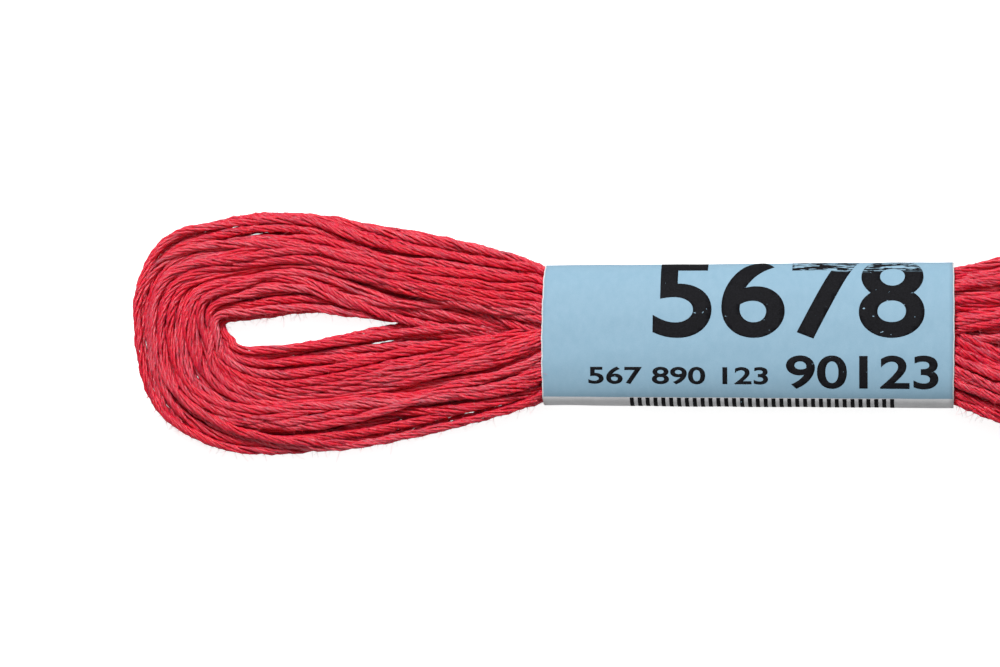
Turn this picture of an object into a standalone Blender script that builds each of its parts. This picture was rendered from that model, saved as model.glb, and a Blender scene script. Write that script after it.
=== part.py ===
"""Skein of embroidery floss: a long hank of six-strand cotton, squeezed at its middle by a paper band.

Sizes are in millimetres; every mesh is scaled to metres as it is made. The skein lies on a table:
X runs along it, Y across it and +Z is up. The origin is under the middle of the whole skein.
"""

from collections import namedtuple
from math import cos, pi, radians, sin

import bmesh
import bpy
import numpy as np

MM = 0.001

# Paper band: a sleeve round both limbs of the hank, a little wider at its right end.
BAND_LEFT_X, BAND_RIGHT_X = -19.6, 19.6
BAND_WIDE_LEFT, BAND_WIDE_RIGHT = 13.6, 14.1
BAND_TALL_LEFT, BAND_TALL_RIGHT = 5.6, 5.8
BAND_WALL = 1.0
BAND_SINK = 0.35  # how far the round outline is cut off below, which leaves the flat it rests on
BAND_FULLNESS = 2.3  # exponent of the outline: 2 is an ellipse, more is squarer
BAND_POINTS = 64

# Hank: a closed ring of wound floss, one long loop with an eye at each end.
GAP = 0.35  # between two pieces that touch
LIMB_GAP = 0.4  # between the two limbs where they lie side by side
CROWN_ROOM = 0.3  # the limbs' crowns lie off the band's middle, where its roof is lower
LOOP_STEPS = 44  # sections round each end loop
POINTS = 40  # points round a section
RIDGES = 8  # main twists that show round a section
RIDGE_DEPTH = 0.22
RIDGE_TURN = radians(7)  # how far the twists advance from one section to the next
SINK = 0.3  # how far a resting section is cut off below
LIFT_OFF = 0.1  # a section this far above the table is not cut off at all
PRESS_SQUARING, PRESS_MOST = 2.0, 1.5  # a limb pressed against the other squares up, up to this far in

# One row for each section of an end loop, from one limb's mouth at the band to the other's.
# The inner point faces the eye or the other limb; low and high are heights above the table.
Section = namedtuple("Section", "inner_x inner_y outer_x outer_y low high")
LEFT_LOOP = (
    Section(-20.5, -5.00, -20.5, 7.00, 0.25, 5.40),
    Section(-23.5, -3.60, -23.5, 8.15, 0.15, 5.20),
    Section(-28.9, -1.10, -28.9, 9.65, 0.05, 4.80),
    Section(-33.8, 0.75, -34.2, 10.85, 0.00, 4.35),
    Section(-38.2, 1.65, -38.6, 11.60, 0.00, 4.05),
    Section(-42.0, 2.60, -43.0, 12.25, 0.00, 3.85),
    Section(-45.5, 2.45, -47.4, 12.25, 0.00, 3.75),
    Section(-47.9, 1.65, -51.6, 11.60, 0.00, 3.70),
    Section(-49.3, 0.95, -56.0, 10.00, 0.00, 3.65),
    Section(-50.0, 0.50, -58.9, 7.20, 0.00, 3.60),
    Section(-50.3, 0.20, -60.0, 2.80, 0.00, 3.60),
    Section(-50.2, -0.10, -59.3, -2.70, 0.00, 3.55),
    Section(-49.8, -0.40, -57.0, -7.15, 0.00, 3.50),
    Section(-49.1, -0.55, -53.5, -9.70, 0.00, 3.45),
    Section(-47.6, -0.55, -49.6, -11.00, 0.00, 3.45),
    Section(-44.7, 0.00, -45.4, -11.65, 0.00, 3.45),
    Section(-40.9, 0.75, -41.1, -11.45, 0.00, 3.50),
    Section(-36.7, 1.40, -36.7, -10.85, 0.00, 3.70),
    Section(-31.5, 2.00, -31.5, -9.70, 0.00, 4.15),
    Section(-25.9, 3.70, -25.9, -8.30, 0.10, 4.85),
    Section(-20.5, 5.00, -20.5, -6.80, 0.25, 5.35),
)
SEAM_START_X, SEAM_END_X, SEAM_RISE = 19.6, 37.0, 1.4  # where the limbs' meeting plane leaves the middle

FLOSS = ((0.80, 0.11, 0.15, 1.0), 0.62)
PAPER = ((0.50, 0.68, 0.80, 1.0), 0.55)


def clear_scene():
    for obj in list(bpy.data.objects):
        bpy.data.objects.remove(obj)


def material(name, colour, roughness):
    made = bpy.data.materials.new(name)
    made.use_nodes = True
    shader = made.node_tree.nodes["Principled BSDF"]
    shader.inputs["Base Color"].default_value = colour
    shader.inputs["Roughness"].default_value = roughness
    shader.inputs["Metallic"].default_value = 0.0
    return made


def new_object(name, bm, finish, collection):
    mesh = bpy.data.meshes.new(name)
    bm.to_mesh(mesh)
    bm.free()
    mesh.materials.append(finish)
    obj = bpy.data.objects.new(name, mesh)
    collection.objects.link(obj)
    return obj


def squarish(angle, fullness):
    """Cosine and sine of a superellipse, which is squarer than an ellipse when fullness is over 2."""
    c, s = cos(angle), sin(angle)
    power = 2.0 / fullness
    return abs(c) ** power * (1 if c >= 0 else -1), abs(s) ** power * (1 if s >= 0 else -1)


def band_outline(x, wide, tall):
    """Points round the band's cross-section at x, cut flat where it rests on the table."""
    half_tall = (tall + BAND_SINK) / 2
    middle = (tall - BAND_SINK) / 2
    points = []
    for i in range(BAND_POINTS):
        across, up = squarish(2 * pi * (i + 0.5) / BAND_POINTS, BAND_FULLNESS)
        points.append((x, wide / 2 * across, max(middle + half_tall * up, 0.0)))
    return points


def add_loft(bm, rings, closed):
    """Joins rings of as many points each by quads, and the last ring to the first if closed."""
    loops = [[bm.verts.new([c * MM for c in p]) for p in ring] for ring in rings]
    pairs = list(zip(loops, loops[1:]))
    if closed:
        pairs.append((loops[-1], loops[0]))
    for one, two in pairs:
        count = len(one)
        for i in range(count):
            j = (i + 1) % count
            bm.faces.new((one[i], one[j], two[j], two[i]))


def make_band(collection):
    """The paper sleeve: an open tube with its wall turned inwards by Solidify."""
    bm = bmesh.new()
    add_loft(
        bm,
        (
            band_outline(BAND_LEFT_X, BAND_WIDE_LEFT, BAND_TALL_LEFT),
            band_outline(BAND_RIGHT_X, BAND_WIDE_RIGHT, BAND_TALL_RIGHT),
        ),
        closed=False,
    )
    bmesh.ops.recalc_face_normals(bm, faces=bm.faces)
    band = new_object("paper_band", bm, material("paper", *PAPER), collection)
    wall = band.modifiers.new("wall", "SOLIDIFY")
    wall.thickness = BAND_WALL * MM
    wall.offset = -1.0
    wall.use_even_offset = True
    return band


def smooth_rows(rows, steps):
    """Catmull-Rom curve through the rows of a table, read at steps + 1 even places."""
    rows = np.array(rows)
    ends = np.vstack([2 * rows[0] - rows[1], rows, 2 * rows[-1] - rows[-2]])
    read = []
    for place in np.linspace(0, len(rows) - 1, steps + 1):
        i = min(int(place), len(rows) - 2)
        t = place - i
        a, b, c, d = ends[i : i + 4]
        read.append(
            0.5 * (2 * b + (c - a) * t + (2 * a - 5 * b + 4 * c - d) * t**2 + (3 * b - a - 3 * c + d) * t**3)
        )
    return read


def seam_y(x):
    """Where the limbs meet, across the skein, at x: midway in the band, and off its middle near the eyes."""
    share = min(max((abs(x) - SEAM_START_X) / (SEAM_END_X - SEAM_START_X), 0.0), 1.0)
    return -SEAM_RISE * share * (1 if x > 0 else -1)


def limb_section(row, side, turn):
    """One ridged cross-section of the hank. side is +1 on the upper limb and -1 on the lower one."""
    inner_x, inner_y, outer_x, outer_y, low, high = row
    pressed = 0.0
    if abs(inner_x) < SEAM_END_X:
        edge = seam_y(inner_x) + side * LIMB_GAP / 2
        pressed = max(side * (edge - inner_y), 0.0)
        inner_y += side * pressed
    inner_fullness = 2.0 + PRESS_SQUARING * min(pressed, PRESS_MOST)
    sink = SINK * max(0.0, 1.0 - low / LIFT_OFF)
    half_tall = (high - low + sink) / 2
    middle = low - sink + half_tall
    points = []
    for i in range(POINTS):
        angle = 2 * pi * i / POINTS
        across, up = squarish(angle, 2.0 if cos(angle) > 0 else inner_fullness)
        ridge = 1 - RIDGE_DEPTH / half_tall * (1 - cos(RIDGES * (angle - turn))) / 2
        share = (1 + across * ridge) / 2
        x = inner_x + (outer_x - inner_x) * share
        y = inner_y + (outer_y - inner_y) * share
        points.append((x, y, max(middle + half_tall * up * ridge, 0.0)))
    return points


def inside_band(x, side):
    """The hank's section inside the band: half of the room that the sleeve leaves."""
    share = (x - BAND_LEFT_X) / (BAND_RIGHT_X - BAND_LEFT_X)
    clear = BAND_WALL + GAP
    half_wide = (BAND_WIDE_LEFT + (BAND_WIDE_RIGHT - BAND_WIDE_LEFT) * share) / 2 - clear
    tall = BAND_TALL_LEFT + (BAND_TALL_RIGHT - BAND_TALL_LEFT) * share
    low, high = clear + CROWN_ROOM, tall - clear - CROWN_ROOM
    return Section(x, -side * half_wide, x, side * half_wide, low, high)


def ring_sections():
    """Every section of the ring with the limb it is on: left along the upper limb, back along the lower."""
    mouth = BAND_RIGHT_X + GAP
    left = smooth_rows(LEFT_LOOP, LOOP_STEPS)
    right = [np.concatenate([-row[:4], row[4:]]) for row in left]  # the same loop, turned half round
    half = LOOP_STEPS // 2
    sections = [(inside_band(x, 1), 1) for x in (mouth, 0.0, -mouth)]
    sections += [(row, 1 if i < half else -1) for i, row in enumerate(left)]
    sections += [(inside_band(x, -1), -1) for x in (-mouth, 0.0, mouth)]
    sections += [(row, -1 if i < half else 1) for i, row in enumerate(right)]
    return sections


def make_hank(collection):
    """The wound floss as one closed ring, with its main twists as ridges that spiral along it."""
    bm = bmesh.new()
    rings = [limb_section(row, side, RIDGE_TURN * i) for i, (row, side) in enumerate(ring_sections())]
    add_loft(bm, rings, closed=True)
    bmesh.ops.recalc_face_normals(bm, faces=bm.faces)
    return new_object("floss_hank", bm, material("floss", *FLOSS), collection)


def main():
    clear_scene()
    skein = bpy.data.collections.new("embroidery_floss_skein")
    bpy.context.scene.collection.children.link(skein)
    make_hank(skein)
    make_band(skein)


main()
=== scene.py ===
"""Looks of the skein of embroidery floss: every turn of its six-strand thread, the stray fibres on it
and the printed paper band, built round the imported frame. Lengths are in millimetres until a mesh is made.
"""

from collections import namedtuple
from math import cos, pi, radians, sin, tan

import bmesh
import bpy
import numpy as np
from mathutils import Matrix, Vector


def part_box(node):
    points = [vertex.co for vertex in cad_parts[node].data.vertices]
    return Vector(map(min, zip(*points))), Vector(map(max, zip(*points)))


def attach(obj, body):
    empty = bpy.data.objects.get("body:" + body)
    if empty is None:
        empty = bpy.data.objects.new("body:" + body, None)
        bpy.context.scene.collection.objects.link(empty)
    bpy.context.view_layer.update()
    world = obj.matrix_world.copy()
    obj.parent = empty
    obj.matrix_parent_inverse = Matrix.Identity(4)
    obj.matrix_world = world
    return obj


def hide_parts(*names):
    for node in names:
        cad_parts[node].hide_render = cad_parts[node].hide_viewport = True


MM = 0.001
TAU = 2 * pi
SEED = 7
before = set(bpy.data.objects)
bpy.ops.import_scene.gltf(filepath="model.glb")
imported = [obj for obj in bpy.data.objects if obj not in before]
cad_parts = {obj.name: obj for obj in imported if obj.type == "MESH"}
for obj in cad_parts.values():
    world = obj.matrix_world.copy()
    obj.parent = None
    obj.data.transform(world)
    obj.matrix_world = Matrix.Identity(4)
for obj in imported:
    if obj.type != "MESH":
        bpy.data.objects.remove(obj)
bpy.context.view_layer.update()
BAND_LOW, BAND_HIGH = (np.array(corner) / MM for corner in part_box("paper_band"))

# Thread: one length of six-strand floss, wound in turns round the whole skein.
TURNS = 46
THREAD = 0.84  # across, as it lies in the hank
STRANDS = 6
STRAND_RADIUS = 0.152
STRAND_OFFSET = 0.278  # from the thread's middle to a strand's
STRAND_SIDES = 6
LAY_LENGTH = 6.8  # along the thread, for one full twist of its strands
LINE_STEPS = 6  # points of the thread's line from one station to the next
RING_STEP, RING_STEP_DEEP, RING_STEP_HIDDEN = 0.72, 2.0, 4.0
HIDDEN_IN = 1.5  # threads further than this inside the band's mouths are hidden
BEND_STEP = 0.38  # radians of bend from one ring to the next
DEEP = (0.45, 0.62)  # shares of the way from the limb's middle to its skin where the rings grow closer
SHOWN_RUN = 9  # points of the line that this is averaged over
PIECES = 4  # meshes that share the turns
REST_SOFT = 0.07  # strands nearer the table than this are pressed flat against it

# What varies along the thread: how far it strays, and over what length.
Uneven = namedtuple("Uneven", "size wave")
LAY_UNEVEN = Uneven(0.22, 40)  # share of the twist
STRAND_TURNING = Uneven(0.42, 9)  # radians off the strands' even places round the thread
STRAND_SPREAD = Uneven(0.26, 8)  # share of the strands' offset
RADIUS_UNEVEN = Uneven(0.13, 5)  # share of the strands' radius
TURN_TONE, STRAND_TONE = Uneven(0.25, 60), Uneven(0.16, 15)
MIDDLE_TONE = 0.5
STRAND_PHASE = 37.0  # from one strand's pattern of plies to the next one's
NOISE_WAVES, NOISE_PACES, NOISE_SCALE = 5, (0.5, 1.6), 3

# Hank: sections of its room, a row each, along an end loop from one limb's mouth to the other's. They
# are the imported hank's, moved by up to a millimetre so that the threads' outline comes where it shows.
Section = namedtuple("Section", "inner_x inner_y outer_x outer_y low high")
LEFT_LOOP = (
    Section(-20.5, -5.00, -20.5, 7.00, 0.25, 5.40),
    Section(-23.5, -3.60, -23.5, 8.15, 0.15, 5.20),
    Section(-28.9, -1.40, -28.9, 9.65, 0.05, 4.80),
    Section(-33.8, 0.10, -34.2, 10.85, 0.00, 4.35),
    Section(-38.2, 1.00, -38.6, 11.60, 0.00, 4.05),
    Section(-42.0, 1.85, -43.0, 12.25, 0.00, 3.85),
    Section(-45.3, 1.65, -47.4, 12.25, 0.00, 3.75),
    Section(-47.5, 0.90, -51.6, 11.60, 0.00, 3.70),
    Section(-48.9, 0.45, -56.4, 10.40, 0.00, 3.65),
    Section(-49.5, 0.15, -59.2, 7.70, 0.00, 3.60),
    Section(-49.7, 0.00, -59.7, 2.80, 0.00, 3.60),
    Section(-49.6, -0.20, -58.4, -2.90, 0.00, 3.55),
    Section(-49.3, -0.40, -56.4, -7.30, 0.00, 3.50),
    Section(-48.6, -0.50, -53.3, -10.00, 0.00, 3.45),
    Section(-47.2, -0.45, -49.6, -11.60, 0.00, 3.45),
    Section(-44.5, 0.20, -45.4, -12.35, 0.00, 3.45),
    Section(-40.9, 1.05, -41.1, -12.15, 0.00, 3.50),
    Section(-36.7, 1.80, -36.7, -11.40, 0.00, 3.70),
    Section(-31.5, 2.40, -31.5, -9.95, 0.00, 4.15),
    Section(-25.9, 3.70, -25.9, -8.40, 0.10, 4.85),
    Section(-20.5, 5.00, -20.5, -6.80, 0.25, 5.35),
)
STATIONS_PER_ROW = 4
BAND_STATIONS = 12
BAND_INSET = 0.25  # sections in the band lie this far inside the sleeve's outline
BAND_ENDS = 0.4  # and the last of them this far inside its mouths
MOUTH = 0.1  # the sleeve holds the threads up to this far outside its mouths
SINK = 0.3  # how far a resting section is cut off below
LIFT_OFF = 0.1  # a section this far above the table is not cut off at all
SEAM_AT_BAND, SEAM_AT_EYE, EYE_X = 0.4, 1.4, 37.0  # where the two limbs meet, across the skein
OUTER_ROOM = 0.3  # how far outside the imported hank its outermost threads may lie
SEAM_LAP = 0.95  # how far each limb's threads work in between the other's
PRESS_SQUARING, PRESS_MOST = 2.0, 1.5  # pressed limbs square up, up to this far in
SQUARER_AREA = 0.06  # share of its area that a section gains for each 1 in its exponent
HEXAGON_ROWS = 0.866  # from one row of packed turns to the next, as a share of their spacing
SPACING_LIMITS = (0.95, 1.3)  # shares of the thread's width
LEAN_X, LEAN = (19.0, 24.0, 33.0, 42.0), (0.0, 0.40, 0.40, 0.0)  # the upper limb leans over the lower

# How the turns roll round the limb's middle, in degrees at rows of the loop's table, and wander in it.
ROLL_ROWS, ROLL_DEGREES = (0, 8, 14, 20), (-62, 0, 8, 36)
ROLL_STEPS, ROLL_EASE = 200, 25
WANDER, WANDER_SIZES = 0.07, (0.4, 1.0)  # of the limb's half width, and the range of its waves' shares
WANDER_WAVES = 6
WANDER_TURNS, WANDER_UP = (1.5, 6.0), 1.13  # waves in one turn, and how many more there are up than across
SHELLS = 3.99  # layers of turns round the limb's middle, just under 4 so that none lies past the last
START_FILL = 0.9  # share of the room that the turns are first laid in

# Grooves between the hank's bundles: where they run on the loop, as rows of its table and angles round
# the limb (0 is outward and 90 is up), how deep they are and how wide.
Groove = namedtuple("Groove", "row_from row_to angle_from angle_to depth width")
GROOVE_FADE = 4  # grooves deepen over the first and last of so many parts of their run
GROOVES = (
    Groove(-0.5, 9.5, 140, 78, 1.75, 12),
    Groove(0.5, 7.5, 168, 122, 0.60, 9),
    Groove(13.5, 20.5, 100, 66, 1.00, 11),
    Groove(10.5, 17.0, 40, 20, 0.60, 9),
)

# Threads that stand off the hank: where, which side of the limb, how many, and how far out and up.
Stray = namedtuple("Stray", "row_from row_to angle count out up")
STRAYS = (
    Stray(10.2, 13.2, -5, 1, 0.42, -0.2),
    Stray(6.8, 9.0, 10, 1, 0.30, 0.0),
    Stray(16.2, 18.8, 60, 1, 0.15, 0.30),
)

# Relaxing the turns into a packed hank.
ROUNDS = 240
SMOOTHING = 0.22
HOLD = 0.03
STRIDES = (1, 2, 4, 8)  # stations on each side that a point is smoothed with
STRIDE_REACH = 2.6  # no stride is longer than this
SHARES_EVERY = 20  # rounds from one reading of the strides' lengths to the next
FIRST_SIZE, GROWTH = 0.5, 0.95  # threads start thin and grow as they are packed
PUSH, LATE_PUSH = 0.36, 0.30  # share of an overlap that one round undoes
TINY = 1e-6
STAND_OFF = 0.35  # how far the outermost turn may lie outside the next one
FILL_AT = 12  # the pass in which the turns are stretched to the room's full width
FILL_SHORT = 0.05  # how near its sides the outermost threads are then brought
FILL_EASE = 7  # stations that this stretch is eased over
EASINGS, LAST_SMOOTHINGS = 30, 6  # passes that ease the stretches which cross the limb or swerve
SHORT_STRIDES = STRIDES[:3]
STEEP_FROM, SWERVE_FROM = 0.20, 0.08  # slope, and change of slope in a millimetre
EASE_LEAST, EASE_MOST = 0.05, 0.5
RUN = 5  # points that slopes and bends are averaged over

# Stray fibres.
HAIRS = 8500
HAIR_LENGTH = (0.15, 1.0)
HAIR_SHORTNESS = 2.2  # more makes long ones rarer
HAIR_RADIUS, HAIR_TAPER = 0.017, 0.55
HAIR_RINGS, HAIR_SIDES = 3, 3
HAIRY_FROM, HAIRY_OVER = 0.72, 0.2  # share of the way to the limb's skin where they start, and grow denser
HAIR_CLEAR = 0.2  # of the band's mouths
FRONT_HAIRS, FRONT_FACING = 0.8, -0.2  # so many more on threads that face the front at least this much
HAIR_SCATTER = 0.55
HAIR_OUT, HAIR_ALONG, HAIR_CURL = 0.8, 0.9, 0.75
HAIR_LOWEST = 0.03

# The cotton: its colours, the twist of its plies, and the patterns that vary its colour: random tone, fibres
# and blotches, and the plies, whose share paints shade into the grooves between plies and a painted highlight
# onto their crests.
# Darkest colour: darker strands, and also painted shade in the grooves between plies. Lightest, pale pink
# colour: a painted highlight on the ply crests.
FLOSS_DARK_AND_PAINTED_SHADE, FLOSS_MID, FLOSS_PALE_AND_PAINTED_HIGHLIGHT = (0.86, 0.001, 0.018), (0.94, 0.009, 0.046), (0.98, 0.120, 0.160)
FLOSS_STOPS = (0.38, 0.58, 0.78)
FIBRE_PALE = (0.82, 0.13, 0.16)
PLY_PITCH, PLY_ROUNDNESS, PLY_HEIGHT = 2.1, 0.5, 1.1
Noise = namedtuple("Noise", "scale detail stretch", defaults=((1, 1, 1),))
FIBRES, BLOTCHES = Noise(2.4, 3.0, (1.6, 1.6, 0.45)), Noise(0.5, 2.0, (0.5, 0.5, 1.0))
SHADE_FROM, TONE_SHARE = -0.06, 0.40
# The plies' share of the colour is painted light: darker shade in the grooves between plies, a highlight on
# their crests.
FIBRE_SHARE, PLY_PAINTED_LIGHT_SHARE, BLOTCH_SHARE = 0.34, 0.26, 0.14
Bump = namedtuple("Bump", "strength distance")
FLOSS_BUMP = Bump(0.9, 0.07)
FLOSS_FINISH = {
    "Subsurface Weight": 0.65,
    "Subsurface Radius": (1.0, 0.10, 0.12),
    "Subsurface Scale": 0.8 * MM,
    "Roughness": 0.34,
    "Specular IOR Level": 0.65,
    "Sheen Weight": 0.05,
    "Sheen Roughness": 0.45,
    "Sheen Tint": (1.0, 0.55, 0.58, 1),
}
FIBRE_FINISH = {"Roughness": 0.6, "Sheen Weight": 0.2}

# Paper band: one strip wound round the hank and glued to itself underneath.
PAPER = 0.12
BAND_WIDE_LEFT, BAND_WIDE_RIGHT = 13.6, 14.1
BAND_TALL_LEFT, BAND_TALL_RIGHT = 5.6, 5.8
BAND_SINK = 0.35
BAND_FULLNESS = 2.3
BAND_LAP = 4.0
UNDER_PAPER = 0.15  # room between the sleeve's inner side and the threads
SLEEVE_STEPS = 1441  # points of the outline that lengths round the sleeve are read from
UNDERSIDE = 0.01  # the sleeve's lowest point, just clear of the table
SLEEVE_FEEL = 0.05  # how far to each side the outline's slope is felt
STRIP_ROWS, STRIP_COLUMNS = 132, 72
LAP_ROOM, LAP_RAMP = 0.01, 1.5  # between the lap's two layers, and the length over which it dips under
EDGE_BOW = 0.22  # the cut ends lie this much further out over the top than underneath
CUT_WAVES = ((0.02, 2.1, 0.0), (0.015, 5.3, 1.0))  # their roughness: depth, pace round the sleeve, phase
RIGHT_ROUGH = 0.7  # the right end's roughness beside the left end's
Wave = namedtuple("Wave", "x along phase")
DENT_DEPTH, DENT_SOFT, DENT_FINE = 0.035, 0.025, 0.010
SOFT_DENTS = (Wave(0.55, 0.8, 0.0), Wave(0.31, -0.9, 1.0))
FINE_DENTS = (Wave(1.3, 0.0, 2.0), Wave(0.4, 1.7, 0.0))
DENTS_FROM, DENTS_OVER = 3.0, 2.0  # lengths from the underside's middle
BLUE_FROM, BLUE_TO = 3.0, 23.2  # lengths round the sleeve between which the paper is printed blue
INSIDE_PAPER = 1000.0  # added to the length round the sleeve on the paper's inner side, which is bare

# What is printed: x and the length round the sleeve that each line spans.
PrintLine = namedtuple("PrintLine", "name figures x_from x_to top bottom")
PRINT_LINES = (
    PrintLine("print_large", "5678", -9.0, 16.8, 8.7, 17.4),
    PrintLine("print_middle", "90123", 3.7, 18.1, 19.0, 22.2),
    PrintLine("print_small", "567 890 123", -15.1, 2.0, 20.1, 21.8),
)
BarRow = namedtuple("BarRow", "count x_from x_to top bottom")
BARS = BarRow(34, -11.2, 13.9, 23.25, 28.6)
FIGURE_BOLD, FIGURE_STEPS, FIGURE_WELD = 0.018, 12, 1e-5  # shares of the figures' size, but for the steps
PRINT_STRIP, PRINT_COLUMN = 0.25, 0.7  # the print is cut into pieces this size
PRINT_WELD = 0.004  # corners of the print nearer than this are one
INK_LIFT, INK_THICKNESS = 0.020, 0.024

# The paper's colours, its grain and the edges of its blue.
BLUE_DEEP, BLUE_PALE = (0.226, 0.374, 0.486), (0.270, 0.422, 0.533)
WHITE_DULL, WHITE_CLEAN = (0.72, 0.73, 0.75), (0.84, 0.85, 0.87)
PAPER_STOPS = (0.30, 0.70)
PAPER_GRAIN, MOTTLE, MOTTLE_SHARE = Noise(9.0, 3.0, (1, 1.6, 1)), Noise(1.1, 4.0), 0.45
CUT_FADE, CUT_RAGGED = (0.13, 0.18), 0.10
BLUE_FADE, BLUE_RAGGED = 0.05, 0.06
PAPER_BUMP = Bump(0.35, 0.02)
PAPER_FINISH = {"Roughness": 0.58, "Specular IOR Level": 0.12}

# The ink's colours and wear: specks all over, and streaks up the large figures and to the right.
INK_DARK, INK_PALE, INK_STOPS = (0.004, 0.004, 0.005), (0.012, 0.012, 0.015), (0.35, 0.70)
INK_GRAIN, SPECKS, STREAKS = Noise(9.0, 3.0), Noise(2.6, 2.0), Noise(1.0, 3.0, (0.8, 5.0, 1))
SPECK_EDGE, STREAK_EDGE = (0.735, 0.76), (0.50, 0.54)
SCUFF_UP, SCUFF_X = (6.6, 7.1), (3.6, 4.6)
INK_FINISH = {"Roughness": 0.70, "Specular IOR Level": 0.08}

# Camera, nearly straight above and a little to the right and the front, and lights.
LENS, SENSOR, CLIP = 187.8, 36.0, (0.05, 10)
CAMERA_TO_RIGHT, CAMERA_TO_FRONT = 5.7, 10.0  # degrees off straight down
CAMERA_TARGET = (-23.82, 0.10, 3.0)
CAMERA_DISTANCE = 500
WORLD_LIGHT = 0.20
LAMPS = (
    ("key", (-0.14, 0.38, 0.67), 0.24, 6.8),
    ("fill", (0.30, 0.10, 0.85), 0.60, 1.2),
)
FLOOR_GLOW, FLOOR_HALF = 0.90, 1.5
FLOOR_FINISH = {
    "Base Color": (0.50, 0.50, 0.50, 1),
    "Roughness": 0.9,
    "Specular IOR Level": 0.1,
    "Emission Color": (1, 1, 1, 1),
}


class Look:
    """A material whose graph its methods add nodes to; each returns the new node's output or outputs."""

    def __init__(self, name, finish):
        self.material = bpy.data.materials.new(name)
        self.material.use_nodes = True
        tree = self.material.node_tree
        self.nodes, self.links = tree.nodes, tree.links
        self.shader = tree.nodes["Principled BSDF"]
        for socket, value in finish.items():
            self.shader.inputs[socket].default_value = value

    def feed(self, socket, value):
        """Gives a socket a number or a colour, or links another node's output to it."""
        if isinstance(value, bpy.types.NodeSocket):
            self.links.new(value, socket)
        else:
            socket.default_value = (*value, 1) if isinstance(value, tuple) else value

    def attribute(self, name):
        node = self.nodes.new("ShaderNodeAttribute")
        node.attribute_name = name
        return node.outputs

    def parts(self, vector):
        node = self.nodes.new("ShaderNodeSeparateXYZ")
        self.links.new(vector, node.inputs["Vector"])
        return node.outputs

    def math(self, operation, *values):
        node = self.nodes.new("ShaderNodeMath")
        node.operation = operation
        for socket, value in zip(node.inputs, values):
            self.feed(socket, value)
        return node.outputs[0]

    def ramp(self, value, *stops):
        """A Color Ramp through stops of (position, colour)."""
        node = self.nodes.new("ShaderNodeValToRGB")
        elements = node.color_ramp.elements
        while len(elements) < len(stops):
            elements.new(0.5)
        for element, (place, colour) in zip(elements, stops):
            element.position = place
            element.color = (*colour, 1)
        self.links.new(value, node.inputs["Fac"])
        return node.outputs["Color"]

    def noise(self, vector, pattern):
        mapping = self.nodes.new("ShaderNodeMapping")
        mapping.inputs["Scale"].default_value = pattern.stretch
        self.links.new(vector, mapping.inputs["Vector"])
        node = self.nodes.new("ShaderNodeTexNoise")
        node.inputs["Scale"].default_value = pattern.scale
        node.inputs["Detail"].default_value = pattern.detail
        self.links.new(mapping.outputs["Vector"], node.inputs["Vector"])
        return node.outputs["Fac"]

    def smooth_step(self, value, low, high):
        node = self.nodes.new("ShaderNodeMapRange")
        node.interpolation_type = "SMOOTHSTEP"
        node.inputs["From Min"].default_value = low
        node.inputs["From Max"].default_value = high
        self.links.new(value, node.inputs["Value"])
        return node.outputs["Result"]

    def mix(self, share, first, second):
        """Mixes two colours; each is a colour or another node's output."""
        node = self.nodes.new("ShaderNodeMix")
        node.data_type = "RGBA"
        self.links.new(share, node.inputs["Factor"])
        for name, value in (("A", first), ("B", second)):
            self.feed(next(i for i in node.inputs if i.name == name and i.type == "RGBA"), value)
        return next(o for o in node.outputs if o.type == "RGBA")

    def show(self, colour, height=None, bump=None):
        """Puts a colour on the shader, and bumps from a height, if there is one."""
        self.links.new(colour, self.shader.inputs["Base Color"])
        if height is None:
            return
        node = self.nodes.new("ShaderNodeBump")
        node.inputs["Strength"].default_value = bump.strength
        node.inputs["Distance"].default_value = bump.distance * MM
        self.links.new(height, node.inputs["Height"])
        self.links.new(node.outputs["Normal"], self.shader.inputs["Normal"])


def add_object(name, data):
    obj = bpy.data.objects.new(name, data)
    bpy.context.scene.collection.objects.link(obj)
    return obj


def running_mean(values, count, mode="same"):
    return np.convolve(values, np.ones(count) / count, mode)


def running_sum(values, step):
    """The sum of values along a line with these steps, from its start to each of its points."""
    return np.concatenate([[0], np.cumsum(0.5 * (values[1:] + values[:-1]) * step)])


def with_ends(rows):
    """The rows with one more at each end, straight on."""
    return np.vstack([2 * rows[0] - rows[1], rows, 2 * rows[-1] - rows[-2]])


def catmull_rom(a, b, c, d, t):
    """Points a share t of the way from b to c, on the smooth curve through a, b, c and d."""
    return 0.5 * (2 * b + (c - a) * t + (2 * a - 5 * b + 4 * c - d) * t**2 + (3 * b - a - 3 * c + d) * t**3)


def smooth_rows(rows, steps):
    """Catmull-Rom curve through rows of numbers, read at steps even places from the first to the last."""
    ends = with_ends(np.asarray(rows, float))
    place = np.linspace(0, len(rows) - 1, steps)
    i = np.minimum(place.astype(int), len(rows) - 2)
    return catmull_rom(ends[i], ends[i + 1], ends[i + 2], ends[i + 3], (place - i)[:, None])


def band_size(x):
    """The band's width and height at x."""
    share = np.clip((x - BAND_LOW[0]) / (BAND_HIGH[0] - BAND_LOW[0]), 0, 1)
    wide = BAND_WIDE_LEFT + (BAND_WIDE_RIGHT - BAND_WIDE_LEFT) * share
    return wide, BAND_TALL_LEFT + (BAND_TALL_RIGHT - BAND_TALL_LEFT) * share


def band_rows(from_x, to_x, count, side):
    """Sections of one limb inside the band. side is +1 where the limb's outer side faces +Y."""
    x = np.linspace(from_x, to_x, count)
    wide, tall = band_size(x)
    outer = side * (wide / 2 - BAND_INSET)
    return np.column_stack([x, -outer, x, outer, np.full(count, BAND_INSET), tall - BAND_INSET])


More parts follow.
